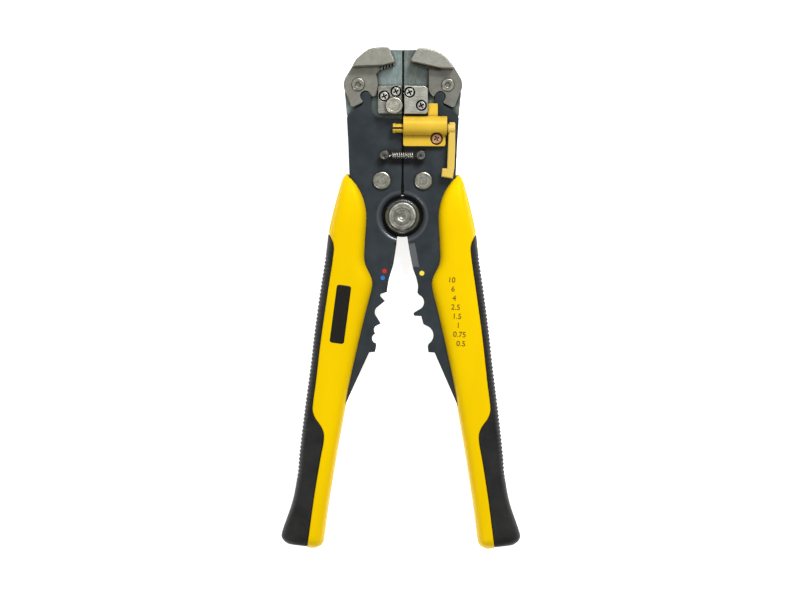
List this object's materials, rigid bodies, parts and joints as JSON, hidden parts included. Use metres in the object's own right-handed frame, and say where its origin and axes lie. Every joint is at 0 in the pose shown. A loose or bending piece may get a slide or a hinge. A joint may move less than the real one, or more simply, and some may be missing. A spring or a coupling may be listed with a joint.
{
  "type": "wire stripper",
  "caption": "Self-adjusting wire stripper with clamping upper jaws, return spring, flip-out wire stop, wire cutter and crimping nests, and long yellow and black handles.",
  "frame": {"origin": "on the main pivot's axis, at the surface that the tool lies on (the back of the pivot nut)", "axes": "+Y from the main pivot towards the jaws, +X to the right seen from the front, +Z out of the front face"},
  "size_m": [0.0974, 0.2046, 0.0195],
  "materials": {
    "base_steel": "blue-grey ground steel",
    "jaw_steel": "warm grey satin steel",
    "blade_steel": "dark hardened steel",
    "screw_steel": "bright screw heads",
    "nickel": "turned bright nickel",
    "dark_steel": "dark slate satin coating",
    "die_steel": "dark slate coating",
    "black_steel": "black oxide",
    "grip_yellow": "smooth warm yellow",
    "grip_black": "soft matte black with fine ribs",
    "stop_yellow": "moulded yellow",
    "copper_screw": "coppery plated screw",
    "red_paint": "paint spot",
    "blue_paint": "paint spot",
    "yellow_paint": "paint spot",
    "label_black": "plain black printed panel"
  },
  "bodies": {
    "left_head": {"left_jaw_base": "base_steel", "left_lower_jaw": "jaw_steel", "left_jaw_screws": "screw_steel", "left_jaw_rivet": "nickel", "left_lever_rivet": "nickel", "pivot_bolt": "nickel", "front_collar": "dark_steel", "rear_collar": "dark_steel", "pivot_nut": "nickel"},
    "adjuster": {"adjusting_knob": "nickel"},
    "left_lever": {"left_front_plate": "dark_steel", "left_rear_plate": "dark_steel", "left_crimping_die": "die_steel", "left_tang_rivets": "nickel", "left_grip": "grip_yellow", "left_grip_insert": "grip_black", "left_spring_post": "black_steel", "red_mark": "red_paint", "blue_mark": "blue_paint", "label_panel": "label_black", "return_spring": "black_steel"},
    "left_ear": {"left_upper_jaw": "jaw_steel"},
    "right_head": {"right_jaw_base": "base_steel", "right_lower_jaw": "jaw_steel", "right_jaw_screws": "screw_steel", "right_jaw_rivet": "nickel", "right_lever_rivet": "nickel"},
    "right_lever": {"right_front_plate": "dark_steel", "right_rear_plate": "dark_steel", "right_crimping_die": "die_steel", "right_tang_rivets": "nickel", "right_grip": "grip_yellow", "right_grip_insert": "grip_black", "right_spring_post": "black_steel", "yellow_mark": "yellow_paint", "stop_holder": "stop_yellow", "stop_screw": "copper_screw"},
    "right_ear": {"right_upper_jaw": "jaw_steel", "cutting_blade": "blade_steel"},
    "stop_rod": {"stop_rod": "stop_yellow"},
    "stop_arm": {"stop_arm": "stop_yellow"}
  },
  "joints": [
    {"name": "left_clamp", "type": "hinge", "parent": "left_head", "child": "left_lever", "pos_m": [-0.00845, 0.01455, 0.0085], "axis": [0, 0, 1], "range_deg": [0, 3.5], "stiffness_Nm_per_rad": 0.2, "springref_deg": -5.73, "deforming": ["return_spring"]},
    {"name": "left_jaw_turn", "type": "hinge", "parent": "left_head", "child": "left_ear", "pos_m": [-0.0183, 0.0537, 0.0118], "axis": [0, 0, -1], "range_deg": [0, 21]},
    {"name": "head_spread", "type": "hinge", "parent": "left_head", "child": "right_head", "pos_m": [0, 0, 0.0085], "axis": [0, 0, -1], "range_deg": [0, 8], "stiffness_Nm_per_rad": 1, "springref_deg": -5.73, "deforming": ["return_spring"]},
    {"name": "right_clamp", "type": "hinge", "parent": "right_head", "child": "right_lever", "pos_m": [0.00845, 0.01455, 0.0085], "axis": [0, 0, -1], "range_deg": [0, 3.5], "deforming": ["return_spring"]},
    {"name": "right_jaw_turn", "type": "hinge", "parent": "right_head", "child": "right_ear", "pos_m": [0.0183, 0.0537, 0.0118], "axis": [0, 0, 1], "range_deg": [0, 21]},
    {"name": "stop_slide", "type": "slide", "parent": "right_lever", "child": "stop_rod", "axis": [1, 0, 0], "range_m": [0, 0.003]},
    {"name": "stop_flip", "type": "hinge", "parent": "stop_rod", "child": "stop_arm", "pos_m": [0.0183, 0.0358, 0.0161], "axis": [-1, 0, 0], "range_deg": [0, 180]},
    {"name": "adjuster_turn", "type": "hinge", "parent": "left_head", "child": "adjuster", "pos_m": [-0.00355, 0.045, 0.0175], "axis": [0, 0, 1], "continuous": true}
  ],
  "couplings": [
    {"joint": "left_jaw_turn", "follows": "left_clamp", "ratio": 6},
    {"joint": "right_clamp", "follows": "left_clamp", "ratio": 1},
    {"joint": "right_jaw_turn", "follows": "left_clamp", "ratio": 6}
  ]
}
